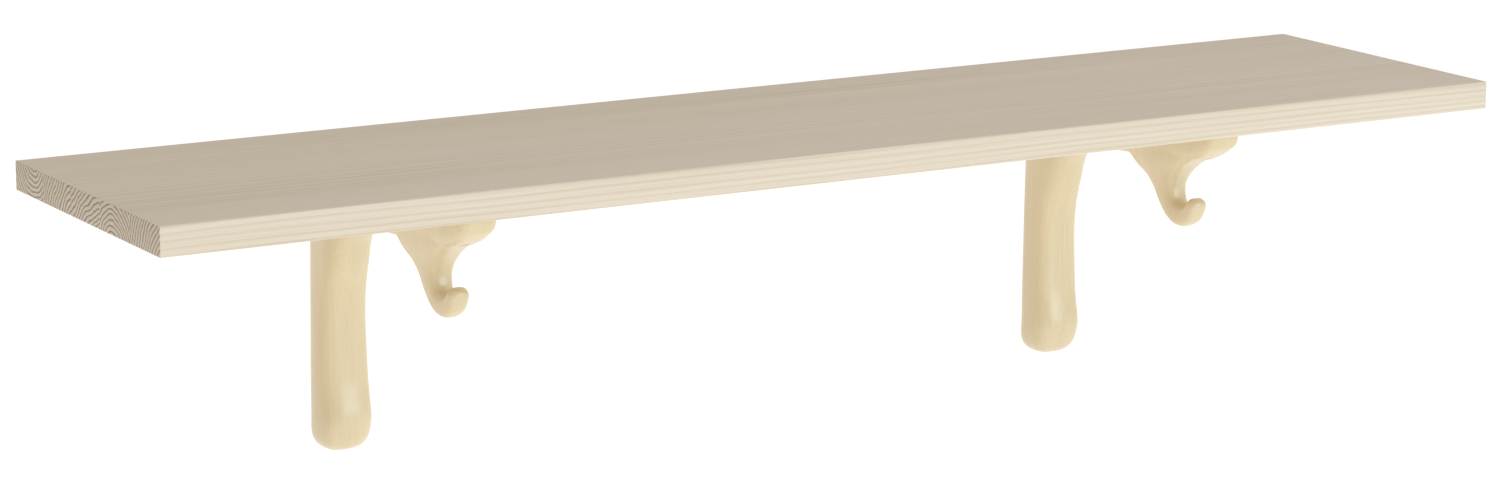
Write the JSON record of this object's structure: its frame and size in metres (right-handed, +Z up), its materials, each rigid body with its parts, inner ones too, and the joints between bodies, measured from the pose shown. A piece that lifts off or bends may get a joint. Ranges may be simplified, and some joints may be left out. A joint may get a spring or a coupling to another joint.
{
  "type": "wall shelf with brackets",
  "caption": "Long straight wall shelf: an edge-glued board on carved wooden brackets, each with a rounded leg, an open arch and a coat hook under its front.",
  "frame": {"origin": "on the wall plane, midway between the two keyholes that hang the shelf", "axes": "+X along the shelf to the right seen from the front, +Y into the wall, +Z up"},
  "size_m": [1.19, 0.284, 0.256],
  "materials": {
    "pine": "untreated, fine sanded softwood",
    "birch": "satin clear lacquer",
    "plate_steel": "zinc plated",
    "screw_steel": "zinc plated"
  },
  "bodies": {
    "root": {"shelf_stave_1": "pine", "shelf_stave_2": "pine", "shelf_stave_3": "pine", "shelf_stave_4": "pine", "shelf_stave_5": "pine", "left_bracket": "birch", "left_hanger_plate": "plate_steel", "left_hanger_screws": "screw_steel", "left_arch_screw": "screw_steel", "left_nose_screw": "screw_steel", "right_bracket": "birch", "right_hanger_plate": "plate_steel", "right_hanger_screws": "screw_steel", "right_arch_screw": "screw_steel", "right_nose_screw": "screw_steel"}
  },
  "joints": []
}
